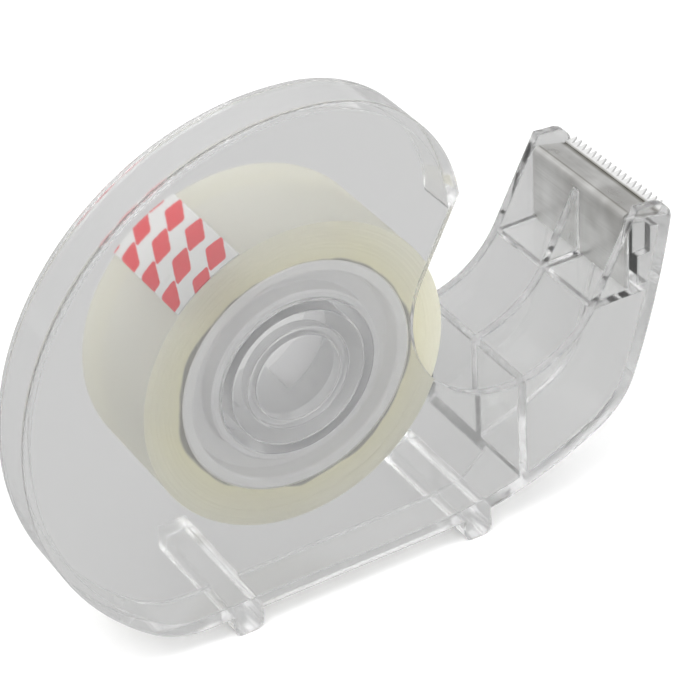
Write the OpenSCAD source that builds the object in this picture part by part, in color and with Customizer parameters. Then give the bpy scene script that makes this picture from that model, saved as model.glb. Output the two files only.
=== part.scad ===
// Small clear dispenser for 15 mm adhesive tape, with its roll on the hub.
// Origin: middle of the bounding box, on the surface that it stands on.
// +X runs towards the cutter, +Y towards the open side of the roll, +Z up.

/* [Body moulding] */
// Radius of the round wall beside the roll
disc_r = 34.4; // [33.8:0.1:35]
// Height of the roll's axis above the table
hub_z = 32.5; // [32:0.1:33]
// Overall width across the two cheeks of the nose
body_w = 22; // [21.5:0.1:24]
// Thickness of the moulded walls
wall_t = 1.2; // [1:0.05:1.4]
// Depth of the rim that runs round the wall, from the wall's outer face
rim_depth = 6.3; // [5:0.1:8]
// Distance from the roll's axis to the tips of the teeth
reach = 50.9; // [50.7:0.1:51.4]

/* [Finger slot] */
// Half the width of the slot, and the radius of its round end
slot_r = 13.4; // [13:0.1:13.8]
// Distance of the slot's round end in front of the roll's axis
slot_x = 28.1; // [27.8:0.1:28.4]
// Height of the centre of the slot's round end
slot_z = 33.6; // [33.3:0.1:33.9]
// Lean of the slot from the horizontal, in degrees
slot_lean = 62; // [60:0.5:64]

/* [Feet] */
// Height of the underside above the table
base_z = 3; // [2.6:0.1:3.2]
// Width of each foot bar
foot_w = 3.8; // [3.2:0.1:4.2]
// Length of each foot bar
foot_len = 19.6; // [16:0.2:21]
// Place of the rear foot bar, from the roll's axis
rear_foot_x = -9; // [-11:0.5:-7]
// Place of the front foot bar, from the roll's axis
front_foot_x = 22.7; // [20:0.1:24]

/* [Cutter] */
// Width of the cutter strip
blade_w = 18.8; // [17:0.1:19.2]
// Thickness of the steel
blade_t = 0.4; // [0.3:0.05:0.5]
// Number of teeth
teeth = 18; // [14:1:26]
// Height of the teeth
tooth_h = 1.2; // [0.8:0.1:1.4]

/* [Roll] */
// Width of the tape
tape_w = 15; // [12:0.5:15]
// Radius of the wound tape
tape_r = 19.4; // [16:0.1:20]
// Outer radius of the spool
spool_r = 14.6; // [14.2:0.1:15]
// Outer radius of the hub tube
hub_r = 9.8; // [9:0.1:10]
// Running clearance between the spool and the hub tube, on the radius
hub_gap = 0.08; // [0.04:0.01:0.1]
// Arc of the starter tab, in degrees
tab_arc = 27.5; // [20:0.5:40]

/* [Hidden] */
$fn = 96;
// the frame: the roll's axis and the wall's outer face, seen from the origin
hub_x = (disc_r - reach) / 2;
near_y = -body_w / 2;
inner_y = body_w - wall_t;

// the roll sits this far from the wall's outer face, and its near end is here
roll_gap = 0.3;
roll_y = wall_t + roll_gap;

// tangent arcs of the side outline, in (distance in front of the roll's axis, height)
function polar(r, a) = [r * cos(a), r * sin(a)];
hub_c = [0, hub_z];
lobe_r = 19.5;
lobe_a = 82.3;
heel_r = 12;
heel_a = 180 + asin((hub_z - base_z - heel_r) / (disc_r - heel_r));
keel_x = 16.5;
keel_r = 50;
keel_a = 298.6;
chin_r = 11;
chin_a = 341;
face_r = 116;
face_a = 351.35;
crown_r = 2.3;
lobe_c = hub_c + polar(disc_r - lobe_r, lobe_a);
heel_c = hub_c + polar(disc_r - heel_r, heel_a);
keel_c = [keel_x, base_z + keel_r];
chin_c = keel_c + polar(keel_r - chin_r, keel_a);
face_c = chin_c + polar(chin_r - face_r, chin_a);
crown_c = face_c + polar(face_r - crown_r, face_a);

// largest step between two points of an arc, in degrees
arc_step = 4;
// [centre, radius, first angle, last angle], anticlockwise round the outline
disc_arcs = [
    [lobe_c, lobe_r, -20, lobe_a],
    [hub_c, disc_r, lobe_a, heel_a],
    [heel_c, heel_r, heel_a, 270],
];
nose_arcs = [
    [keel_c, keel_r, 270, keel_a],
    [chin_c, chin_r, keel_a, chin_a],
    [face_c, face_r, chin_a, face_a],
    [crown_c, crown_r, face_a, 450],
];

// nose and cutter seat, in the same coordinates
bulkhead_x = 29.2;
bulkhead_t = 1;
shelf_x = 39.7;
shelf_z = 26.2;
shelf_t = 1;
leg_x = 44.65;
leg_z = shelf_z + shelf_t + 0.1;
strip_rear_z = 37.45;
strip_front = [49.25, 36.37];
strip_slope = atan2(strip_front[1] - strip_rear_z, strip_front[0] - leg_x);
lip_slope = 21;
lip_len = 1.7;
upright_x = leg_x + blade_t;
upright_t = 1.2;
gusset_y = 2;

// radius of the foot bars' lower edges
foot_round = 1.2;

// hub, fingers and spool, as radii and as distances from the wall's outer face
hub_wall = 1.2;
hub_tube_y = 10;
finger_arc = 44;
finger_count = 3;
finger_step = 360 / finger_count;
barb_y = roll_y + tape_w + 0.15;
barb_h = 0.7;
barb_out = 0.9;
boss_r = 6.5;
boss_y = 3;
spool_rim_t = 1.4;
collar_t = 1;
web_t = 1.2;
web_y = roll_y + 3;
tab_gap = 0.12;
tab_t = 0.15;
tab_end_a = 135.5;

clear = [0.86, 0.89, 0.89, 0.45];
spool_clear = [0.93, 0.94, 0.95, 0.6];
steel = [0.62, 0.62, 0.6];
film = [0.93, 0.91, 0.78];
tab_red = [0.82, 0.18, 0.24];

// ---- placing helpers ----

// a side profile made solid between two distances from the wall's outer face
module plate(y0, y1) {
    translate([hub_x, near_y + y1, 0])
        rotate([90, 0, 0])
            linear_extrude(y1 - y0)
                children();
}

// things turned about the roll's axis: their Z becomes the distance from the outer face
module on_hub() {
    translate([hub_x, near_y, hub_z])
        rotate([-90, 0, 0])
            children();
}

// ---- side profiles ----

// points along one arc of the outline, without its last one
function arc_points(a, inset) =
    let (steps = ceil((a[3] - a[2]) / arc_step))
    [for (i = [0 : steps - 1]) a[0] + polar(a[1] - inset, a[2] + (a[3] - a[2]) * i / steps)];

// points along a chain of arcs, each of which starts where the one before it ends
function chain_points(arcs, inset) =
    let (last = arcs[len(arcs) - 1])
    [for (a = arcs) each arc_points(a, inset), last[0] + polar(last[1] - inset, last[3])];

// the whole side outline, or one that lies inside it by the inset
module snail_2d(inset = 0) {
    polygon([each chain_points(disc_arcs, inset), each chain_points(nose_arcs, inset)]);
}

module slot_2d() {
    translate([slot_x, slot_z])
        rotate(slot_lean) {
            circle(r = slot_r);
            translate([0, -slot_r]) square([60, 2 * slot_r]);
        }
}

// the nose in front of the bulkhead's rear face
module nose_2d(inset = 0, from_x = bulkhead_x) {
    difference() {
        intersection() {
            snail_2d(inset);
            translate([from_x, 0]) square(60);
        }
        slot_2d();
    }
}

module band_2d() {
    difference() {
        snail_2d();
        snail_2d(wall_t);
        slot_2d();
    }
}

// ---- body moulding ----

module side_wall() color(clear)
    plate(0, wall_t)
        difference() {
            snail_2d();
            slot_2d();
        }

module rim_flange() color(clear) {
    ramp_x = bulkhead_x - 5.7;
    ramp_rise = 2.6;
    plate(wall_t, rim_depth) rim_2d(-60);
    difference() {
        plate(rim_depth, rim_depth + ramp_rise) rim_2d(ramp_x);
        translate([hub_x + ramp_x, near_y + rim_depth, -1])
            rotate(atan2(ramp_rise, bulkhead_x - ramp_x))
                cube([20, 20, 20]);
    }
}

module rim_2d(from_x) {
    intersection() {
        band_2d();
        union() {
            translate([from_x, 0]) square([bulkhead_x - from_x, 20]);
            if (from_x < 0) translate([from_x, 10]) square([60 + lobe_c[0] + lobe_r + 1, 60]);
        }
    }
}

module hub_tube() color(clear)
    on_hub()
        translate([0, 0, wall_t])
            difference() {
                cylinder(r = hub_r, h = hub_tube_y - wall_t);
                translate([0, 0, -1]) cylinder(r = hub_r - hub_wall, h = hub_tube_y);
            }

module hub_fingers() color(clear)
    on_hub()
        for (i = [0 : finger_count - 1])
            rotate(i * finger_step - finger_arc / 2 + 90)
                rotate_extrude(angle = finger_arc)
                    polygon([
                        [hub_r - hub_wall, hub_tube_y],
                        [hub_r, hub_tube_y],
                        [hub_r, barb_y],
                        [hub_r + barb_out, barb_y],
                        [hub_r - 0.3, barb_y + barb_h],
                        [hub_r - hub_wall, barb_y + barb_h],
                    ]);

module hub_boss() color(clear)
    on_hub()
        translate([0, 0, wall_t])
            difference() {
                cylinder(r = boss_r, h = boss_y - wall_t);
                translate([0, 0, -1]) cylinder(r = boss_r - 1, h = boss_y + 1);
            }

module front_wall() color(clear)
    plate(wall_t, inner_y)
        difference() {
            nose_2d(0, bulkhead_x + bulkhead_t);
            snail_2d(wall_t);
            above_seat_2d();
        }

module rear_bulkhead() color(clear)
    plate(wall_t, inner_y)
        difference() {
            nose_2d();
            translate([bulkhead_x + bulkhead_t, 0]) square(60);
        }

module far_cheek() color(clear)
    plate(inner_y, body_w) nose_2d();

// the nose's hollow, in front of the bulkhead and inside the front wall
module nose_hollow_2d() {
    intersection() {
        nose_2d(0, bulkhead_x + bulkhead_t);
        snail_2d(wall_t);
    }
}

module middle_web(x0, z0, x1, z1) {
    plate((body_w - wall_t) / 2, (body_w + wall_t) / 2)
        intersection() {
            nose_hollow_2d();
            translate([x0, z0]) square([x1 - x0, z1 - z0]);
        }
}

module centre_rib() color(clear)
    middle_web(bulkhead_x, 0, 60, shelf_z);

module clamp_rib() color(clear)
    middle_web(shelf_x, shelf_z + shelf_t, leg_x, 60);

// a strip of the side profile, between two heights above the cutter's underside
module along_seat_2d(low, high) {
    translate([leg_x, strip_rear_z])
        rotate(strip_slope)
            translate([0, low - blade_t]) square([12, high - low]);
}

module above_seat_2d() {
    along_seat_2d(0, 12);
}

module cutter_seat() color(clear)
    plate(wall_t, inner_y)
        intersection() {
            nose_hollow_2d();
            difference() {
                union() {
                    translate([shelf_x, shelf_z]) square([20, shelf_t]);
                    translate([upright_x, shelf_z]) square([upright_t, 20]);
                    intersection() {
                        along_seat_2d(-upright_t, 0);
                        translate([upright_x, 0]) square(60);
                    }
                }
                above_seat_2d();
            }
        }

module seat_gussets() color(clear)
    for (y0 = [wall_t, inner_y - gusset_y])
        plate(y0, y0 + gusset_y)
            intersection() {
                nose_hollow_2d();
                polygon([
                    [upright_x + upright_t, 31.4],
                    [upright_x + upright_t + 1.8, 31.4],
                    [upright_x + upright_t + 1.8, 35],
                    [upright_x + upright_t, 35.4],
                ]);
            }

// a cross bar with rounded lower edges, let into the underside of the wall and rim
module foot_bar(x, rim_y) {
    difference() {
        plate(0, foot_len)
            translate([x, 0]) {
                for (side = [-1, 1])
                    translate([side * (foot_w / 2 - foot_round), foot_round]) circle(r = foot_round, $fn = 48);
                translate([foot_round - foot_w / 2, 0]) square([foot_w - 2 * foot_round, foot_round]);
                translate([-foot_w / 2, foot_round]) square([foot_w, base_z + wall_t - foot_round]);
            }
        plate(-1, rim_y) snail_2d();
    }
}

module rear_foot() color(clear)
    foot_bar(rear_foot_x, rim_depth);

module front_foot() color(clear)
    foot_bar(front_foot_x, rim_depth + 0.6);

// ---- cutter ----

module strip_2d(p, slope, len) {
    translate(p) rotate(slope) translate([0, -blade_t]) square([len, blade_t]);
}

module cutter_blade() color(steel) {
    y0 = (body_w - blade_w) / 2;
    strip_len = norm(strip_front - [leg_x, strip_rear_z]);
    pitch = blade_w / teeth;
    difference() {
        plate(y0, y0 + blade_w) {
            translate([leg_x, leg_z]) square([blade_t, strip_rear_z - leg_z - 0.1]);
            strip_2d([leg_x, strip_rear_z], strip_slope, strip_len + 0.1);
            strip_2d(strip_front - [0.05, 0], lip_slope, lip_len);
        }
        translate([hub_x + strip_front[0], near_y + y0, strip_front[1]])
            rotate([0, -lip_slope, 0])
                translate([lip_len - tooth_h, 0, -1])
                    linear_extrude(2)
                        for (i = [0 : teeth])
                            polygon([
                                [0, i * pitch],
                                [tooth_h + 1, (i - 0.5 * (1 + 1 / tooth_h)) * pitch],
                                [tooth_h + 1, (i + 0.5 * (1 + 1 / tooth_h)) * pitch],
                            ]);
    }
}

// ---- roll ----

module ring(r_in, r_out, y0, y1) {
    translate([0, 0, y0])
        difference() {
            cylinder(r = r_out, h = y1 - y0);
            translate([0, 0, -1]) cylinder(r = r_in, h = y1 - y0 + 2);
        }
}

module spool_core() color(spool_clear)
    on_hub() {
        bore_r = hub_r + hub_gap;
        ring(spool_r - spool_rim_t, spool_r, roll_y, roll_y + tape_w);
        ring(bore_r, bore_r + collar_t, roll_y, roll_y + tape_w);
        ring(bore_r, spool_r - spool_rim_t / 2, web_y - web_t / 2, web_y + web_t / 2);
    }

module tape_winding() color(film)
    on_hub() ring(spool_r, tape_r, roll_y, roll_y + tape_w);

module starter_tab() color(tab_red)
    on_hub()
        rotate(-tab_end_a)
            rotate_extrude(angle = tab_arc)
                translate([tape_r + tab_gap, roll_y]) square([tab_t, tape_w]);

side_wall();
rim_flange();
hub_tube();
hub_fingers();
hub_boss();
front_wall();
rear_bulkhead();
far_cheek();
centre_rib();
clamp_rib();
cutter_seat();
seat_gussets();
rear_foot();
front_foot();
cutter_blade();
spool_core();
tape_winding();
starter_tab();
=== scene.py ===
import math
import random

import bmesh
import bpy
from mathutils import Matrix, Vector


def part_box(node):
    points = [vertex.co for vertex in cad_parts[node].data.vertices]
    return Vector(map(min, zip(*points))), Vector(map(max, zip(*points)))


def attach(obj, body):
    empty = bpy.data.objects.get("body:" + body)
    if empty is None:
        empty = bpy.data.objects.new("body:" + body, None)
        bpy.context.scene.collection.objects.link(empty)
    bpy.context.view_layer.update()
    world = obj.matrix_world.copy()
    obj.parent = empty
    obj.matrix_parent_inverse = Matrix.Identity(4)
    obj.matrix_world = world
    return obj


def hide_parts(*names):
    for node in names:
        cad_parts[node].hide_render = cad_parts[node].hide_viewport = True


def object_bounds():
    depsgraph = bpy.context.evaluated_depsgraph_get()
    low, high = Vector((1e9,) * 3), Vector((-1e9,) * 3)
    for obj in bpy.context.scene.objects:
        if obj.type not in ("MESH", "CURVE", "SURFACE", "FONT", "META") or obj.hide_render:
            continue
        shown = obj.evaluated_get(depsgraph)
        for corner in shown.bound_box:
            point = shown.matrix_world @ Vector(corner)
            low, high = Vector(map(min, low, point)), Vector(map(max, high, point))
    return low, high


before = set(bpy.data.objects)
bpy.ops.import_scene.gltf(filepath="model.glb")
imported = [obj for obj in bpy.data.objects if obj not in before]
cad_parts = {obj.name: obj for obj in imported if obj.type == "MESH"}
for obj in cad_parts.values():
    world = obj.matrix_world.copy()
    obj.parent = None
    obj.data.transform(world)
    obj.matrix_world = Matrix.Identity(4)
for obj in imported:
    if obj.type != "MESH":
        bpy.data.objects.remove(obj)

# Lengths are in millimetres and angles in degrees while shapes are being made.
# Shape coordinates are (u, v, z): u is the distance in front of the roll's axis,
# v the distance from the wall's outer face, and z the height above the table.
MM = 0.001
cad_low, cad_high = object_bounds()
wall_low, wall_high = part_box("side_wall")
roll_low, roll_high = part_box("tape_winding")
spool_low, spool_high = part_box("spool_core")
blade_low, blade_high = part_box("cutter_blade")

hub_x = (roll_low.x + roll_high.x) / 2
hub_z = (roll_low.z + roll_high.z) / 2 / MM
near_y = wall_low.y
body_w = (cad_high.y - near_y) / MM
wall_t = (wall_high.y - wall_low.y) / MM
disc_r = (hub_x - wall_low.x) / MM
tape_r = (roll_high.x - roll_low.x) / 2 / MM
spool_r = (spool_high.x - spool_low.x) / 2 / MM
roll_near = (roll_low.y - near_y) / MM
roll_far = (roll_high.y - near_y) / MM
blade_near = (blade_low.y - near_y) / MM
blade_far = (blade_high.y - near_y) / MM


# ---------------------------------------------------------------- mesh helpers

def polar(r, a, centre=(0, 0)):
    a = math.radians(a)
    return (centre[0] + r * math.cos(a), centre[1] + r * math.sin(a))


def arc(centre, r, a0, a1, step=2.0):
    n = max(2, math.ceil(abs(a1 - a0) / step))
    return [polar(r, a0 + (a1 - a0) * i / n, centre) for i in range(n + 1)]


def add_object(name, mesh):
    obj = bpy.data.objects.new(name, mesh)
    bpy.context.scene.collection.objects.link(obj)
    return obj


def from_bmesh(name, bm):
    bmesh.ops.recalc_face_normals(bm, faces=bm.faces)
    mesh = bpy.data.meshes.new(name)
    bm.to_mesh(mesh)
    bm.free()
    return add_object(name, mesh)


def prism(outline, v0, v1):
    """A side outline of (u, z) points made solid from depth v0 to v1."""
    bm = bmesh.new()
    near = [bm.verts.new((u, v0, z)) for u, z in outline]
    far = [bm.verts.new((u, v1, z)) for u, z in outline]
    bm.faces.new(near)
    bm.faces.new(far[::-1])
    for i in range(len(near)):
        j = (i + 1) % len(near)
        bm.faces.new((near[j], near[i], far[i], far[j]))
    return from_bmesh("prism", bm)


def block(u0, u1, v0, v1, z0, z1):
    return prism([(u0, z0), (u1, z0), (u1, z1), (u0, z1)], v0, v1)


def turned(profile, steps=160, a0=0.0, a1=360.0):
    """A closed outline of (radius, v) points turned about the roll's axis."""
    whole = abs(a1 - a0) > 359.9
    n = max(2, math.ceil(steps * (a1 - a0) / 360))
    bm = bmesh.new()
    rings = []
    for i in range(n if whole else n + 1):
        a = math.radians(a0 + (a1 - a0) * i / n)
        rings.append([
            bm.verts.new((r * math.cos(a), v, hub_z + r * math.sin(a))) for r, v in profile
        ])
    for i in range(n):
        here, there = rings[i], rings[(i + 1) % len(rings)]
        for k in range(len(profile)):
            m = (k + 1) % len(profile)
            bm.faces.new((here[k], here[m], there[m], there[k]))
    if not whole:
        bm.faces.new(rings[0])
        bm.faces.new(rings[-1][::-1])
    return from_bmesh("turned", bm)


def combine(base, others, operation):
    for other in others:
        mod = base.modifiers.new("combine", "BOOLEAN")
        mod.operation, mod.solver, mod.object = operation, "MANIFOLD", other
        dg = bpy.context.evaluated_depsgraph_get()
        mesh = bpy.data.meshes.new_from_object(base.evaluated_get(dg))
        base.modifiers.clear()
        old, base.data = base.data, mesh
        bpy.data.meshes.remove(old)
        bpy.data.objects.remove(other)
    return base


def union(base, *others):
    return combine(base, others, "UNION")


def minus(base, *others):
    return combine(base, others, "DIFFERENCE")


def within(base, *others):
    return combine(base, others, "INTERSECT")


def tidy(obj, merge=0.004, flat=0.35):
    """Welds slivers and joins faces that lie in one plane."""
    bm = bmesh.new()
    bm.from_mesh(obj.data)
    bmesh.ops.remove_doubles(bm, verts=bm.verts, dist=merge)
    bmesh.ops.dissolve_degenerate(bm, edges=bm.edges, dist=merge)
    bmesh.ops.dissolve_limit(
        bm, angle_limit=math.radians(flat), verts=bm.verts, edges=bm.edges
    )
    bm.to_mesh(obj.data)
    bm.free()


def place(obj, name, body, nodes, material, round_edges=0.0, smooth=30):
    """Turns shape coordinates into the frame, rounds the edges and hands the piece over."""
    obj.data.transform(
        Matrix.Translation((hub_x, near_y, 0)) @ Matrix.Diagonal((MM, MM, MM, 1))
    )
    obj.name = obj.data.name = name
    obj.data.materials.clear()
    obj.data.materials.append(material)
    for p in obj.data.polygons:
        p.use_smooth = True
        p.material_index = 0
    if round_edges:
        mod = obj.modifiers.new("edges", "BEVEL")
        mod.width, mod.segments = round_edges * MM, 3
        mod.limit_method, mod.angle_limit = "ANGLE", math.radians(38)
        mod.use_clamp_overlap = True
        mod.harden_normals = False
        dg = bpy.context.evaluated_depsgraph_get()
        mesh = bpy.data.meshes.new_from_object(obj.evaluated_get(dg))
        obj.modifiers.clear()
        old, obj.data = obj.data, mesh
        bpy.data.meshes.remove(old)
        mesh.name = name
    obj.data.set_sharp_from_angle(angle=math.radians(smooth))
    mod = obj.modifiers.new("normals", "WEIGHTED_NORMAL")
    mod.mode, mod.weight, mod.keep_sharp = "FACE_AREA", 100, True
    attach(obj, body)
    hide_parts(*nodes)
    return obj


# ---------------------------------------------------------------- node helpers

def new_material(name):
    mat = bpy.data.materials.new(name)
    mat.use_nodes = True
    mat.node_tree.nodes.clear()
    out = mat.node_tree.nodes.new("ShaderNodeOutputMaterial")
    return mat, mat.node_tree, out


def node(nt, kind, **values):
    n = nt.nodes.new("ShaderNode" + kind)
    for key, value in values.items():
        if hasattr(n, key):
            setattr(n, key, value)
        else:
            n.inputs[key.replace("_", " ")].default_value = value
    return n


def link(nt, a, b):
    nt.links.new(a, b)


def ramp(nt, fac, stops):
    n = nt.nodes.new("ShaderNodeValToRGB")
    while len(n.color_ramp.elements) < len(stops):
        n.color_ramp.elements.new(0.5)
    for e, (at, colour) in zip(n.color_ramp.elements, stops):
        e.position, e.color = at, (*colour, 1)
    link(nt, fac, n.inputs[0])
    return n.outputs[0]


def maths(nt, operation, a, b=None):
    n = node(nt, "Math", operation=operation)
    for socket, value in zip(n.inputs, (a, b)):
        if isinstance(value, (int, float)):
            socket.default_value = value
        elif value is not None:
            link(nt, value, socket)
    return n.outputs[0]


def from_axis(nt, at_zero, at_one):
    """0 to 1 between two distances in mm from the roll's axis, in object coordinates."""
    where = node(nt, "TexCoord")
    away = node(nt, "VectorMath", operation="SUBTRACT")
    flat = node(nt, "VectorMath", operation="MULTIPLY")
    far = node(nt, "VectorMath", operation="LENGTH")
    span = node(nt, "MapRange")
    away.inputs[1].default_value = (hub_x, 0, hub_z * MM)
    flat.inputs[1].default_value = (1, 0, 1)
    span.inputs["From Min"].default_value = at_zero * MM
    span.inputs["From Max"].default_value = at_one * MM
    link(nt, where.outputs["Object"], away.inputs[0])
    link(nt, away.outputs[0], flat.inputs[0])
    link(nt, flat.outputs[0], far.inputs[0])
    link(nt, far.outputs["Value"], span.inputs["Value"])
    return span.outputs[0]


def spread(nt, fac, low, high):
    """A value from 0 to 1 spread between low and high."""
    n = node(nt, "MapRange")
    n.inputs["To Min"].default_value, n.inputs["To Max"].default_value = low, high
    link(nt, fac, n.inputs["Value"])
    return n.outputs[0]


def noise(nt, scale, detail=2.0, stretch=(1, 1, 1), roughness=0.5):
    """Noise in object coordinates, scale in repeats per metre."""
    coord = node(nt, "TexCoord")
    size = node(nt, "Mapping")
    size.inputs["Scale"].default_value = stretch
    link(nt, coord.outputs["Object"], size.inputs["Vector"])
    n = node(nt, "TexNoise", Scale=scale, Detail=detail, Roughness=roughness)
    link(nt, size.outputs[0], n.inputs["Vector"])
    return n.outputs["Fac"]


def bump(nt, height, strength, distance, normal=None):
    n = node(nt, "Bump", Strength=strength, Distance=distance)
    link(nt, height, n.inputs["Height"])
    if normal is not None:
        link(nt, normal, n.inputs["Normal"])
    return n.outputs[0]


MILK_TINT, MILK_THROUGH = (0.96, 0.96, 0.965, 1), 0.3
FROST_EDGE, FROST_ROUGHNESS = 0.5, 0.12
FROST_FROM, FROST_TO = 0.05, 0.3


def clear_plastic(name, tint, ior, haze, ripple, smooth, worn, soft=0.0, frosted=0.0, milky=0.0):
    """Clear moulding with slow ripples and fine handling marks, and a milky share.

    soft rounds the shaded edges, in mm. frosted keeps the milky share to what stands
    on the wall within that distance in mm of the roll's axis, and makes it rougher.
    """
    mat, nt, out = new_material(name)
    glass = node(nt, "BsdfPrincipled")
    glass.inputs["Base Color"].default_value = (*tint, 1)
    glass.inputs["Transmission Weight"].default_value = 1.0 - haze
    glass.inputs["IOR"].default_value = ior
    marks = noise(nt, 900, 6, (1, 1, 5), 0.7)
    rough, core = spread(nt, marks, smooth, worn), None
    if frosted:
        place_in, inside = node(nt, "SeparateXYZ"), node(nt, "MapRange")
        link(nt, node(nt, "TexCoord").outputs["Object"], place_in.inputs[0])
        inside.inputs["From Min"].default_value = near_y + (wall_t + FROST_FROM) * MM
        inside.inputs["From Max"].default_value = near_y + (wall_t + FROST_TO) * MM
        link(nt, place_in.outputs["Y"], inside.inputs["Value"])
        core = maths(nt, "MULTIPLY", inside.outputs[0],
                     from_axis(nt, frosted + FROST_EDGE, frosted))
        rough = maths(nt, "ADD", rough, maths(nt, "MULTIPLY", core, FROST_ROUGHNESS))
    link(nt, rough, glass.inputs["Roughness"])
    rounded = None
    if soft:
        edges = node(nt, "Bevel", samples=4)
        edges.inputs["Radius"].default_value = soft * MM
        rounded = edges.outputs[0]
    link(nt, bump(nt, noise(nt, 70, 2), ripple, 0.0006, rounded), glass.inputs["Normal"])
    front, back = node(nt, "BsdfDiffuse"), node(nt, "BsdfTranslucent")
    front.inputs["Color"].default_value = MILK_TINT
    back.inputs["Color"].default_value = MILK_TINT
    cloud, mix = node(nt, "MixShader"), node(nt, "MixShader")
    cloud.inputs[0].default_value = MILK_THROUGH
    mix.inputs[0].default_value = milky
    if core is not None:
        link(nt, maths(nt, "MULTIPLY", core, milky), mix.inputs[0])
    link(nt, front.outputs[0], cloud.inputs[1])
    link(nt, back.outputs[0], cloud.inputs[2])
    link(nt, glass.outputs[0], mix.inputs[1])
    link(nt, cloud.outputs[0], mix.inputs[2])
    link(nt, mix.outputs[0], out.inputs["Surface"])
    return mat


# ---------------------------------------------------------------- camera

VIEW_AZIMUTH, VIEW_ELEVATION, VIEW_ROLL = -28.88, 34.70, -3.33
VIEW_TARGET = Vector((0.00297, 0.0, 0.0273))
VIEW_DISTANCE, VIEW_LENS = 0.3506, 158.82

az, el, ro = (math.radians(a) for a in (VIEW_AZIMUTH, VIEW_ELEVATION, VIEW_ROLL))
looks = Vector((-math.sin(az) * math.cos(el), math.cos(az) * math.cos(el), -math.sin(el)))
level = looks.cross(Vector((0, 0, 1))).normalized()
upward = level.cross(looks)
right = math.cos(ro) * level + math.sin(ro) * upward
up = math.cos(ro) * upward - math.sin(ro) * level
camera_data = bpy.data.cameras.new("camera")
camera_data.lens, camera_data.sensor_width = VIEW_LENS, 36.0
camera = add_object("camera", camera_data)
camera.matrix_world = Matrix.Translation(VIEW_TARGET - looks * VIEW_DISTANCE) @ Matrix(
    (right, up, -looks)
).transposed().to_4x4()
bpy.context.scene.camera = camera


# ---------------------------------------------------------------- body outline

RIM_DEPTH = 6.3
BASE_Z = 3.0
SKIN = 0.02
SLOT_R, SLOT_U, SLOT_Z, SLOT_LEAN = 13.4, 28.1, 33.6, 62
HUB = (0, hub_z)

LOBE_R, LOBE_A = 19.5, 82.3
HEEL_R = 12
HEEL_A = 180 + math.degrees(math.asin((hub_z - BASE_Z - HEEL_R) / (disc_r - HEEL_R)))
KEEL_U, KEEL_R, KEEL_A = 16.5, 50, 298.6
CHIN_R, CHIN_A = 11, 341
FACE_R, FACE_A = 116, 351.35
CROWN_R = 2.3
LOBE_C = polar(disc_r - LOBE_R, LOBE_A, HUB)
HEEL_C = polar(disc_r - HEEL_R, HEEL_A, HUB)
KEEL_C = (KEEL_U, BASE_Z + KEEL_R)
CHIN_C = polar(KEEL_R - CHIN_R, KEEL_A, KEEL_C)
FACE_C = polar(CHIN_R - FACE_R, CHIN_A, CHIN_C)
CROWN_C = polar(FACE_R - CROWN_R, FACE_A, FACE_C)


def side_outline(inset):
    """The whole side outline, inset from the moulding's outer surface."""
    points = []
    for centre, r, a0, a1 in (
        (LOBE_C, LOBE_R, -20, LOBE_A),
        (HUB, disc_r, LOBE_A, HEEL_A),
        (HEEL_C, HEEL_R, HEEL_A, 270),
        (KEEL_C, KEEL_R, 270, KEEL_A),
        (CHIN_C, CHIN_R, KEEL_A, CHIN_A),
        (FACE_C, FACE_R, CHIN_A, FACE_A),
        (CROWN_C, CROWN_R, FACE_A, 450),
    ):
        chain = arc(centre, r - inset, a0, a1, 0.8 if r > 15 else 2.5)
        points += chain if not points or centre in (KEEL_C,) else chain[1:]
    return points


def slot_cutter():
    """The finger slot: a round end with parallel sides that lean forwards."""
    along, across = polar(1, SLOT_LEAN), polar(1, SLOT_LEAN - 90)
    round_end = arc((SLOT_U, SLOT_Z), SLOT_R, SLOT_LEAN + 90, SLOT_LEAN + 270, 2.0)
    reach = 60
    ends = [
        (SLOT_U + along[0] * reach + side * across[0] * SLOT_R,
         SLOT_Z + along[1] * reach + side * across[1] * SLOT_R)
        for side in (1, -1)
    ]
    return prism(round_end + ends, -5, body_w + 5)


# ---------------------------------------------------------------- body moulding

BULKHEAD_U, BULKHEAD_T = 29.2, 1.0
RAMP_U, RAMP_RISE = BULKHEAD_U - 5.7, 2.6
SHELF_U, SHELF_Z, SHELF_T = 39.7, 26.2, 1.0
LEG_U = 44.65
BLADE_T = 0.4
STRIP_REAR_Z = 37.45
STRIP_FRONT = (49.25, 36.37)
STRIP_SLOPE = math.degrees(math.atan2(STRIP_FRONT[1] - STRIP_REAR_Z, STRIP_FRONT[0] - LEG_U))
UPRIGHT_U, UPRIGHT_T = LEG_U + BLADE_T, 1.2
GUSSET_V = 2.0
far_wall = body_w - wall_t
OVERLAP = 0.3


def along_seat(low, high, length=14.0, start=0.0):
    """A strip of the side outline between two heights above the cutter's underside."""
    rear = (LEG_U, STRIP_REAR_Z)
    way, rise = polar(1, STRIP_SLOPE), polar(1, STRIP_SLOPE + 90)
    corners = [(start, low), (length, low), (length, high), (start, high)]
    return [
        (rear[0] + way[0] * a + rise[0] * (b - BLADE_T),
         rear[1] + way[1] * a + rise[1] * (b - BLADE_T))
        for a, b in corners
    ]


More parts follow.
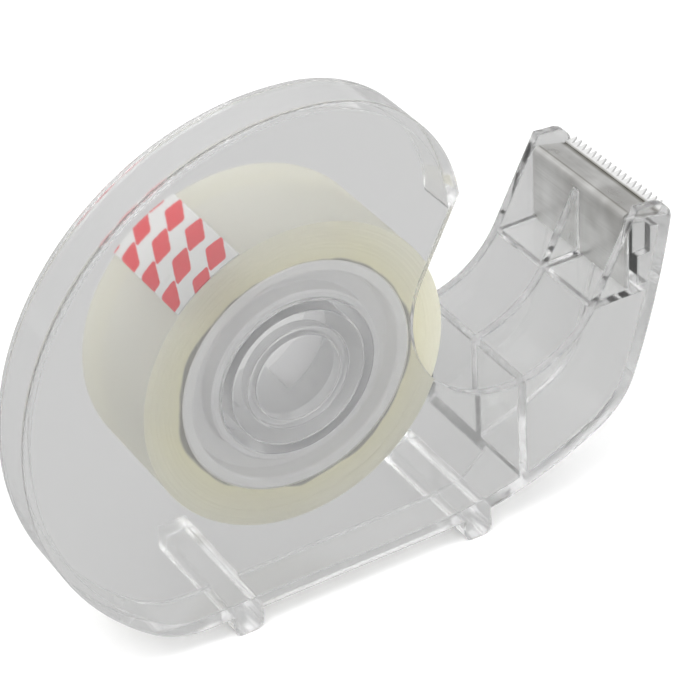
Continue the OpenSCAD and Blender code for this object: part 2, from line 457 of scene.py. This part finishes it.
def make_body():
    body = prism(side_outline(SKIN), 0, body_w)
    open_side = bmesh.new()
    flat = [(-80, RIM_DEPTH), (RAMP_U, RIM_DEPTH), (BULKHEAD_U, RIM_DEPTH + RAMP_RISE),
            (BULKHEAD_U, 60), (-80, 60)]
    low = [open_side.verts.new((u, v, -20)) for u, v in flat]
    high = [open_side.verts.new((u, v, 90)) for u, v in flat]
    open_side.faces.new(low)
    open_side.faces.new(high[::-1])
    for i in range(len(flat)):
        j = (i + 1) % len(flat)
        open_side.faces.new((low[j], low[i], high[i], high[j]))
    minus(body, from_bmesh("open_side", open_side), slot_cutter())
    pocket = within(
        prism(side_outline(wall_t), wall_t, 60), block(-80, BULKHEAD_U, -5, 70, -5, 90)
    )
    minus(body, pocket)
    hollow = within(
        prism(side_outline(wall_t), wall_t, far_wall),
        block(BULKHEAD_U + BULKHEAD_T, 80, -5, 60, -5, 90),
    )
    minus(
        hollow,
        block(BULKHEAD_U - 1, 60, (body_w - wall_t) / 2, (body_w + wall_t) / 2, 0, SHELF_Z + 0.5),
    )
    minus(body, hollow)

    seat = block(SHELF_U, 60, wall_t - OVERLAP, far_wall + OVERLAP, SHELF_Z, SHELF_Z + SHELF_T)
    upright = block(UPRIGHT_U, UPRIGHT_U + UPRIGHT_T, wall_t - OVERLAP, far_wall + OVERLAP,
                    SHELF_Z + 0.2, 50)
    rest = within(
        prism(along_seat(-UPRIGHT_T, 1.0, start=-2), wall_t - OVERLAP, far_wall + OVERLAP),
        block(UPRIGHT_U + 0.01, 80, -5, 60, 0, 60),
    )
    clamp = block(SHELF_U + 0.02, LEG_U, (body_w - wall_t) / 2, (body_w + wall_t) / 2,
                  SHELF_Z + 0.2, 60)
    union(seat, upright, rest, clamp)
    rear = UPRIGHT_U + UPRIGHT_T
    gusset = [(rear - 0.3, 31.3), (rear + 1.8, 31.4), (rear + 1.8, 35.2), (rear - 0.3, 35.9)]
    for v0 in (wall_t - OVERLAP, far_wall - GUSSET_V):
        union(seat, prism(gusset, v0, v0 + GUSSET_V + OVERLAP))
    within(seat, prism(side_outline(0.5), 0, body_w))
    union(body, seat)
    minus(body, slot_cutter(), prism(along_seat(0, 12, start=-3), wall_t, far_wall))

    # hub: a tube whose upper part is left as three barbed fingers, and a low ring inside it
    hub_r, hub_wall, tube_v = 9.8, 1.2, 10.0
    barb_v, barb_h, barb_out = roll_far + 0.15, 0.7, 0.9
    tube = turned([
        (hub_r - hub_wall, wall_t - OVERLAP), (hub_r, wall_t - OVERLAP), (hub_r, barb_v),
        (hub_r + barb_out - 0.1, barb_v), (hub_r + barb_out, barb_v + 0.1),
        (hub_r - 0.1, barb_v + barb_h), (hub_r - hub_wall + 0.1, barb_v + barb_h),
        (hub_r - hub_wall, barb_v + barb_h - 0.1),
    ])
    finger_arc, fingers = 44, 3
    for i in range(fingers):
        middle = -90 + 360 / fingers * (i + 0.5)
        half = (360 / fingers - finger_arc) / 2
        wedge = [HUB, *arc(HUB, 30, middle - half, middle + half, 8)]
        minus(tube, prism(wedge, tube_v, 40))
    ring = turned([
        (5.5, wall_t - OVERLAP), (6.5, wall_t - OVERLAP), (6.5, 2.85), (6.35, 3.0),
        (5.65, 3.0), (5.5, 2.85),
    ])
    union(body, tube, ring)

    # feet: two cross bars with rounded lower edges
    foot_w, foot_len, foot_round = 3.8, 19.6, 1.2
    for foot_u, rim_v in ((-9, RIM_DEPTH), (22.7, RIM_DEPTH + 0.6)):
        half = foot_w / 2
        low = arc((foot_u + half - foot_round, foot_round), foot_round, -90, 0, 15)
        top = BASE_Z + wall_t - 0.05
        profile = low + [(foot_u + half, top), (foot_u - half, top)]
        profile += arc((foot_u - half + foot_round, foot_round), foot_round, 180, 270, 15)
        bar = prism(profile, SKIN, foot_len)
        minus(bar, prism(side_outline(wall_t * 0.5), -1, rim_v - OVERLAP))
        union(body, bar)
    tidy(body)
    return body


place(
    make_body(), "dispenser_body", "dispenser",
    ("side_wall", "rim_flange", "hub_tube", "hub_fingers", "hub_boss", "front_wall",
     "rear_bulkhead", "far_cheek", "centre_rib", "clamp_rib", "cutter_seat", "seat_gussets",
     "rear_foot", "front_foot"),
    clear_plastic(
        "clear_body", tint=(0.988, 0.99, 0.988), ior=1.46, haze=0.04, ripple=0.05,
        smooth=0.02, worn=0.10, soft=0.45, frosted=11.0, milky=0.32,
    ),
    round_edges=0.15,
)


# ---------------------------------------------------------------- spool

def make_spool():
    """A rim and a collar joined by a web that lies near one end, with rounded edges."""
    rim_in, collar_in, collar_out = spool_r - 1.4, 9.88, 10.88
    web, half, soft, r = roll_near + 3.0, 0.6, 0.25, spool_r - 0.02

    def side(end, face, way):
        return [
            (collar_in, end + way * soft), (collar_in + soft, end), (collar_out - soft, end),
            (collar_out, end + way * soft), (collar_out, face - way * 0.5),
            (collar_out + 0.15, face - way * 0.15), (collar_out + 0.5, face),
            (rim_in - 0.5, face), (rim_in - 0.15, face - way * 0.15),
            (rim_in, face - way * 0.5), (rim_in, end + way * soft),
            (rim_in + 0.1, end + way * 0.08), (rim_in + soft, end), (r - soft, end),
            (r - 0.08, end + way * 0.1), (r, end + way * soft),
        ]

    near, far = side(roll_near, web - half, 1), side(roll_far, web + half, -1)
    return turned(near + far[::-1], 180)


place(
    make_spool(), "spool", "roll", ("spool_core",),
    clear_plastic(
        "clear_spool", tint=(0.985, 0.978, 0.99), ior=1.36, haze=0.05, ripple=0.3,
        smooth=0.12, worn=0.32, milky=0.70,
    ),
    smooth=25,
)


# ---------------------------------------------------------------- wound tape

def make_winding():
    """Turns of tape whose edges stand a few hundredths of a millimetre in or out."""
    rng = random.Random(7)
    turns, core = 22, spool_r + 0.03
    pitch = (tape_r - core) / turns
    near, far = [], []
    for i in range(turns):
        a, b = core + pitch * i, core + pitch * (i + 1)
        near_v = roll_near + rng.uniform(0.0, 0.05)
        far_v = roll_far - rng.uniform(0.0, 0.05)
        near += [(a, near_v), (b - 0.02, near_v)]
        far += [(a, far_v), (b - 0.02, far_v)]
    return turned(near + far[::-1], 180)


def tape_material(name, low, high, haze, through, start=None):
    """Hazy clear film: low is its tint by the core, high on the outside, with soft patches.

    haze is the cloudy share and through the part of it that lets light pass. start, where
    given, is a painted shade: a dark ring on the first turns, where the tape meets the spool.
    """
    mat, nt, out = new_material(name)
    patches = noise(nt, 130, 2, (1, 0.5, 1))
    outwards, patchy = 0.7, 0.3
    both = maths(nt, "ADD", maths(nt, "MULTIPLY", from_axis(nt, spool_r, tape_r), outwards),
                 maths(nt, "MULTIPLY", patches, patchy))
    # Up to first_turns the tint is start, a painted shade ring where the tape meets the spool.
    first_turns, after_them, outside = 0.17, 0.215, 0.85
    tint = ramp(nt, both, ((first_turns, start or low), (after_them, low), (outside, high)))
    film = node(nt, "BsdfPrincipled", IOR=1.2)
    film.inputs["Transmission Weight"].default_value = 1.0
    link(nt, tint, film.inputs["Base Color"])
    link(nt, spread(nt, patches, 0.28, 0.42), film.inputs["Roughness"])
    front, back = node(nt, "BsdfDiffuse"), node(nt, "BsdfTranslucent")
    link(nt, tint, front.inputs["Color"])
    link(nt, tint, back.inputs["Color"])
    cloud, mix = node(nt, "MixShader"), node(nt, "MixShader")
    cloud.inputs[0].default_value = through
    mix.inputs[0].default_value = haze
    link(nt, front.outputs[0], cloud.inputs[1])
    link(nt, back.outputs[0], cloud.inputs[2])
    link(nt, film.outputs[0], mix.inputs[1])
    link(nt, cloud.outputs[0], mix.inputs[2])
    link(nt, mix.outputs[0], out.inputs["Surface"])
    return mat


winding = place(
    make_winding(), "wound_tape", "roll", ("tape_winding",),
    tape_material(
        "tape_edges", low=(0.89, 0.86, 0.64), high=(0.89, 0.875, 0.75), haze=0.62, through=0.25,
        # start paints a dark shade ring where the tape meets the spool.
        start=(0.30, 0.29, 0.27),
    ),
    smooth=25,
)
for surface in (
    tape_material("tape_surface", low=(0.96, 0.95, 0.88), high=(0.97, 0.965, 0.90),
                  haze=0.60, through=0.55),
    tape_material("tape_first_turns", low=(0.96, 0.96, 0.96), high=(0.97, 0.97, 0.97),
                  haze=0.5, through=1.0),
):
    winding.data.materials.append(surface)
# The end faces keep the first material; the outer and inner faces take the others.
for p in winding.data.polygons:
    r = math.hypot(p.center.x - hub_x, p.center.z - hub_z * MM) / MM
    if abs(p.normal.y) < 0.5:
        p.material_index = 1 if r > tape_r - 0.1 else 2 if r < spool_r + 0.1 else 0


# ---------------------------------------------------------------- starter tab

TAB_START, TAB_END = 108.0, 135.5
TAB_LIFT, TAB_T = 0.12, 0.15


def make_tab():
    """A curved film with its print laid out in millimetres on its UV map."""
    bm = bmesh.new()
    uv = bm.loops.layers.uv.new("print")
    inner, outer = tape_r + TAB_LIFT, tape_r + TAB_LIFT + TAB_T
    steps, across = 24, 12
    grid = {}
    for side, r in ((0, inner), (1, outer)):
        for i in range(steps + 1):
            a = TAB_START + (TAB_END - TAB_START) * i / steps
            for k in range(across + 1):
                v = roll_near + (roll_far - roll_near) * k / across
                u, z = polar(r, a, HUB)
                grid[side, i, k] = bm.verts.new((u, v, z))

    def face(*keys):
        f = bm.faces.new([grid[k] for k in keys])
        for loop, (_, i, k) in zip(f.loops, keys):
            loop[uv].uv = (
                math.radians(TAB_END - TAB_START) * outer * i / steps,
                (roll_far - roll_near) * k / across,
            )

    for i in range(steps):
        for k in range(across):
            face((1, i, k), (1, i + 1, k), (1, i + 1, k + 1), (1, i, k + 1))
            face((0, i, k), (0, i, k + 1), (0, i + 1, k + 1), (0, i + 1, k))
        face((0, i, 0), (0, i + 1, 0), (1, i + 1, 0), (1, i, 0))
        face((0, i, across), (1, i, across), (1, i + 1, across), (0, i + 1, across))
    for k in range(across):
        face((0, 0, k), (1, 0, k), (1, 0, k + 1), (0, 0, k + 1))
        face((0, steps, k), (0, steps, k + 1), (1, steps, k + 1), (1, steps, k))
    return from_bmesh("tab", bm)


def printed_film():
    """White film printed with staggered, slanted red lozenges that have round corners."""
    along, across = 3.5, 4.7
    half, corner, slant = (0.85, 1.35), 0.35, 0.45
    mat, nt, out = new_material("printed_tab")
    uv = node(nt, "UVMap", uv_map="print")
    parts = node(nt, "SeparateXYZ")
    link(nt, uv.outputs[0], parts.inputs[0])
    row = maths(nt, "DIVIDE", parts.outputs["X"], along)
    shift = maths(nt, "MULTIPLY", maths(nt, "MODULO", maths(nt, "FLOOR", row), 2.0), 0.5)
    column = maths(nt, "ADD", maths(nt, "DIVIDE", parts.outputs["Y"], across), shift)
    x = maths(nt, "MULTIPLY", maths(nt, "SUBTRACT", maths(nt, "FRACT", row), 0.5), along)
    y = maths(nt, "MULTIPLY", maths(nt, "SUBTRACT", maths(nt, "FRACT", column), 0.5), across)
    x = maths(nt, "ADD", x, maths(nt, "MULTIPLY", y, slant))
    sides = [
        maths(nt, "MAXIMUM", maths(nt, "SUBTRACT", maths(nt, "ABSOLUTE", c), h), 0.0)
        for c, h in ((x, half[0]), (y, half[1]))
    ]
    away = maths(nt, "SQRT", maths(
        nt, "ADD", maths(nt, "POWER", sides[0], 2.0), maths(nt, "POWER", sides[1], 2.0)))
    ragged = maths(nt, "MULTIPLY", noise(nt, 2600, 2), 0.18)
    edge = maths(nt, "SUBTRACT", maths(nt, "ADD", away, ragged), corner + 0.09)
    inked = ramp(nt, maths(nt, "ADD", maths(nt, "MULTIPLY", edge, 2.0), 0.5), (
        (0.40, (0.60, 0.004, 0.015)), (0.55, (0.62, 0.62, 0.61)),
    ))
    film = node(nt, "BsdfPrincipled", Coat_Weight=0.2, Coat_Roughness=0.12)
    link(nt, inked, film.inputs["Base Color"])
    link(nt, spread(nt, noise(nt, 500, 3), 0.22, 0.4), film.inputs["Roughness"])
    link(nt, bump(nt, noise(nt, 260, 2), 0.15, 0.0002), film.inputs["Normal"])
    link(nt, film.outputs[0], out.inputs["Surface"])
    return mat


place(
    make_tab(), "printed_tab", "tab", ("starter_tab",), printed_film(), smooth=40,
)


# ---------------------------------------------------------------- cutter

TEETH, TOOTH_H = 18, 1.2
LIP_SLOPE, LIP_LEN = 21, 1.7
REAR_BEND, FRONT_BEND = 0.85, 0.45


def rounded_path(corners, radii, step=10.0):
    """Points of a path with its inner corners rounded, each with the direction there."""
    path = []
    for i, (here, r) in enumerate(zip(corners, radii)):
        p = Vector(here)
        if r == 0:
            other = Vector(corners[1] if i == 0 else corners[i - 1])
            way = (other - p if i == 0 else p - other).normalized()
            path.append((p, way))
            continue
        a, b = (p - Vector(corners[i - 1])).normalized(), (Vector(corners[i + 1]) - p).normalized()
        turn = a.angle_signed(b)
        back = r * math.tan(abs(turn) / 2)
        side = Vector((-a.y, a.x)) * (-1 if turn > 0 else 1)
        centre = p - a * back + side * r
        n = max(2, math.ceil(math.degrees(abs(turn)) / step))
        for k in range(n + 1):
            spin = Matrix.Rotation(-turn * k / n, 2)
            path.append((centre - spin @ (side * r), spin @ a))
    return path


def make_blade():
    """One folded strip: a leg, a rounded rear bend, the strip, a scored front fold, the teeth."""
    rear = (LEG_U + 0.02, STRIP_REAR_Z - 0.02)
    tip = (STRIP_FRONT[0] + LIP_LEN * math.cos(math.radians(LIP_SLOPE)),
           STRIP_FRONT[1] + LIP_LEN * math.sin(math.radians(LIP_SLOPE)))
    path = rounded_path(
        [(rear[0], SHELF_Z + SHELF_T + 0.12), rear, STRIP_FRONT, tip],
        [0, REAR_BEND, FRONT_BEND, 0],
    )
    fold = Vector(STRIP_FRONT)
    outer, inner = [], []
    for p, way in path:
        under = Vector((way.y, -way.x))
        score = 0.10 if (p - fold).length < 0.12 else 0.0
        outer.append(p + under * score)
        inner.append(p + under * (BLADE_T - 0.02))
    profile = [tuple(p) for p in outer + inner[::-1]]
    blade = prism(profile, blade_near + 0.02, blade_far - 0.02)
    pitch = (blade_far - blade_near) / TEETH
    way = Vector((math.cos(math.radians(LIP_SLOPE)), math.sin(math.radians(LIP_SLOPE))))
    up = Vector((-way.y, way.x))
    root = Vector(tip) - way * TOOTH_H
    past, reach, flat = 1, 1.2, 0.03
    for i in range(TEETH + 1):
        wedge = bmesh.new()
        middle, wide = blade_near + i * pitch, 0.5 * (1 + past / TOOTH_H) * pitch
        rows = []
        for height in (-reach, reach):
            row = []
            for s, v in ((0, middle - flat), (TOOTH_H + past, middle - wide),
                         (TOOTH_H + past, middle + wide), (0, middle + flat)):
                at = root + way * s + up * height
                row.append(wedge.verts.new((at.x, v, at.y)))
            rows.append(row)
        wedge.faces.new(rows[0])
        wedge.faces.new(rows[1][::-1])
        for k in range(4):
            m = (k + 1) % 4
            wedge.faces.new((rows[0][m], rows[0][k], rows[1][k], rows[1][m]))
        minus(blade, from_bmesh("wedge", wedge))
    tidy(blade, 0.002, 0.2)
    return blade


def brushed_steel():
    """Rolled strip: faint lines along its width, stains, and darker and brighter bands.

    The darker bands are painted: a painted shade in the concave front fold and a painted
    dark reflection along the rounded rear bend. The leg is painted lighter at the shelf and
    darker up at the strip, which is painted shading. The strip is also lighter towards the
    teeth and a little lighter towards the far end, by position.
    """
    # The front fold's dark band is a painted shade in the concave fold.
    fold_at, fold_wide, fold_painted_shade = STRIP_FRONT[0] - 0.1, 0.5, 0.38
    # The rear bend's dark band is a painted dark reflection along the rounded bend.
    bend_at, bend_wide, bend_painted_reflection = LEG_U + 0.95, 0.22, 0.22
    # The lip and teeth are made lighter, by position.
    teeth_lighter_from, teeth_lighter_to, teeth_lighter_by = STRIP_FRONT[0] + 0.2, STRIP_FRONT[0] + 0.6, 0.3
    # Painted shading on the leg: lighter at the shelf, darker up at the strip.
    leg_low, leg_high = 0.46, 0.29
    mat, nt, out = new_material("cutter_steel")
    metal = node(nt, "BsdfPrincipled", Metallic=1.0, Anisotropic=0.3)
    lines = noise(nt, 5200, 3, (1, 0.02, 1), 0.6)
    stains = noise(nt, 210, 2)
    place_in = node(nt, "SeparateXYZ")
    link(nt, node(nt, "TexCoord").outputs["Object"], place_in.inputs[0])
    # Dark bands painted by position: shade in the front fold, a dark reflection along the rear
    # bend.
    bands = []
    for at, wide in ((fold_at, fold_wide), (bend_at, bend_wide)):
        band = node(nt, "MapRange", interpolation_type="SMOOTHSTEP")
        band.inputs["From Min"].default_value = wide * MM
        band.inputs["From Max"].default_value = 0.0
        away = maths(nt, "SUBTRACT", place_in.outputs["X"], hub_x + at * MM)
        link(nt, maths(nt, "ABSOLUTE", away), band.inputs["Value"])
        bands.append(band.outputs[0])
    towards_teeth = node(nt, "MapRange", interpolation_type="SMOOTHSTEP")
    towards_teeth.inputs["From Min"].default_value = hub_x + teeth_lighter_from * MM
    towards_teeth.inputs["From Max"].default_value = hub_x + teeth_lighter_to * MM
    link(nt, place_in.outputs["X"], towards_teeth.inputs["Value"])
    # Painted shading with height: lighter at the shelf, darker at the strip.
    up = node(nt, "MapRange")
    up.inputs["From Min"].default_value = SHELF_Z * MM
    up.inputs["From Max"].default_value = STRIP_REAR_Z * MM
    up.inputs["To Min"].default_value, up.inputs["To Max"].default_value = leg_low, leg_high
    link(nt, place_in.outputs["Z"], up.inputs["Value"])
    along = node(nt, "MapRange")
    along.inputs["From Min"].default_value = blade_low.y
    along.inputs["From Max"].default_value = blade_high.y
    link(nt, place_in.outputs["Y"], along.inputs["Value"])
    tone = maths(nt, "ADD", maths(nt, "MULTIPLY", lines, 0.18), maths(nt, "MULTIPLY", stains, 0.5))
    tone = maths(nt, "ADD", tone, up.outputs[0])
    tone = maths(nt, "ADD", tone, maths(nt, "MULTIPLY", along.outputs[0], 0.08))
    # Painted shade in the front fold.
    tone = maths(nt, "SUBTRACT", tone, maths(nt, "MULTIPLY", bands[0], fold_painted_shade))
    # Painted dark reflection along the rear bend.
    tone = maths(nt, "SUBTRACT", tone, maths(nt, "MULTIPLY", bands[1], bend_painted_reflection))
    # Lighter towards the teeth, by position.
    tone = maths(nt, "ADD", tone, maths(nt, "MULTIPLY", towards_teeth.outputs[0], teeth_lighter_by))
    link(nt, ramp(nt, tone, (
        (0.05, (0.13, 0.125, 0.115)), (0.35, (0.27, 0.26, 0.235)), (0.62, (0.50, 0.495, 0.48)),
        (0.9, (0.88, 0.88, 0.87)),
    )), metal.inputs["Base Color"])
    link(nt, spread(nt, stains, 0.18, 0.45), metal.inputs["Roughness"])
    waves = bump(nt, noise(nt, 260, 1), 0.25, 0.0003)
    link(nt, bump(nt, lines, 0.15, 0.00006, waves), metal.inputs["Normal"])
    link(nt, metal.outputs[0], out.inputs["Surface"])
    return mat


place(
    make_blade(), "cutter_strip", "dispenser", ("cutter_blade",), brushed_steel(),
    round_edges=0.035, smooth=35,
)


# ---------------------------------------------------------------- floor, light, colour

FLOOR_SIZE, FLOOR_GAP = 3.0, 0.00002
PAPER, GREY, GLOW = 0.98, 0.12, 0.435
bm = bmesh.new()
bmesh.ops.create_grid(bm, x_segments=1, y_segments=1, size=FLOOR_SIZE / 2)
floor = from_bmesh("floor", bm)
floor.location = (0, 0, cad_low.z - FLOOR_GAP)
floor_mat, nt, out = new_material("floor")
path = node(nt, "LightPath")
# Seen straight, the paper is white. Under the clear parts it is a pale grey that glows a little.
paper, grey, glow = node(nt, "BsdfDiffuse"), node(nt, "BsdfDiffuse"), node(nt, "Emission")
paper.inputs["Color"].default_value = (PAPER, PAPER, PAPER, 1)
grey.inputs["Color"].default_value = (GREY, GREY, GREY, 1)
glow.inputs["Color"].default_value = (1, 1, 1, 1)
glow.inputs["Strength"].default_value = GLOW
under, mix = node(nt, "AddShader"), node(nt, "MixShader")
link(nt, grey.outputs[0], under.inputs[0])
link(nt, glow.outputs[0], under.inputs[1])
link(nt, path.outputs["Is Camera Ray"], mix.inputs[0])
link(nt, under.outputs[0], mix.inputs[1])
link(nt, paper.outputs[0], mix.inputs[2])
link(nt, mix.outputs[0], out.inputs["Surface"])
floor.data.materials.append(floor_mat)

world = bpy.data.worlds.new("studio")
bpy.context.scene.world = world
world.use_nodes = True
nt = world.node_tree
nt.nodes.clear()
out = nt.nodes.new("ShaderNodeOutputWorld")
sky = node(nt, "Background", Strength=0.97)
direction = node(nt, "TexCoord")
height = node(nt, "SeparateXYZ")
link(nt, direction.outputs["Generated"], height.inputs[0])
link(nt, ramp(nt, height.outputs["Z"], (
    (0.0, (0.80, 0.80, 0.80)), (0.12, (0.66, 0.66, 0.66)), (0.35, (0.74, 0.74, 0.74)),
    (0.62, (1, 1, 1)), (1.0, (1, 1, 1)),
)), sky.inputs["Color"])
link(nt, sky.outputs[0], out.inputs["Surface"])


def softbox(name, at, aim, size, watts):
    data = bpy.data.lights.new(name, "AREA")
    data.shape, data.size, data.size_y, data.energy = "RECTANGLE", size[0], size[1], watts
    obj = add_object(name, data)
    obj.location = at
    obj.rotation_mode = "QUATERNION"
    obj.rotation_quaternion = (Vector(aim) - Vector(at)).to_track_quat("-Z", "Y")
    return obj


softbox("key", (-0.35, -0.25, 0.75), (0, 0, 0.02), (0.35, 0.35), 2.2)
softbox("fill", (0.6, -0.35, 0.45), (0, 0, 0.03), (0.3, 0.5), 1.0)
softbox("front", (-0.15, -1.0, 0.55), (0, 0, 0.03), (1.0, 0.7), 6.0)

scene = bpy.context.scene
scene.view_settings.view_transform = "Standard"
scene.cycles.caustics_reflective = True
scene.cycles.caustics_refractive = True
scene.cycles.max_bounces = 40
scene.cycles.transmission_bounces = 36
scene.cycles.transparent_max_bounces = 24
scene.cycles.glossy_bounces = 32
scene.cycles.diffuse_bounces = 12
scene.cycles.use_denoising = True
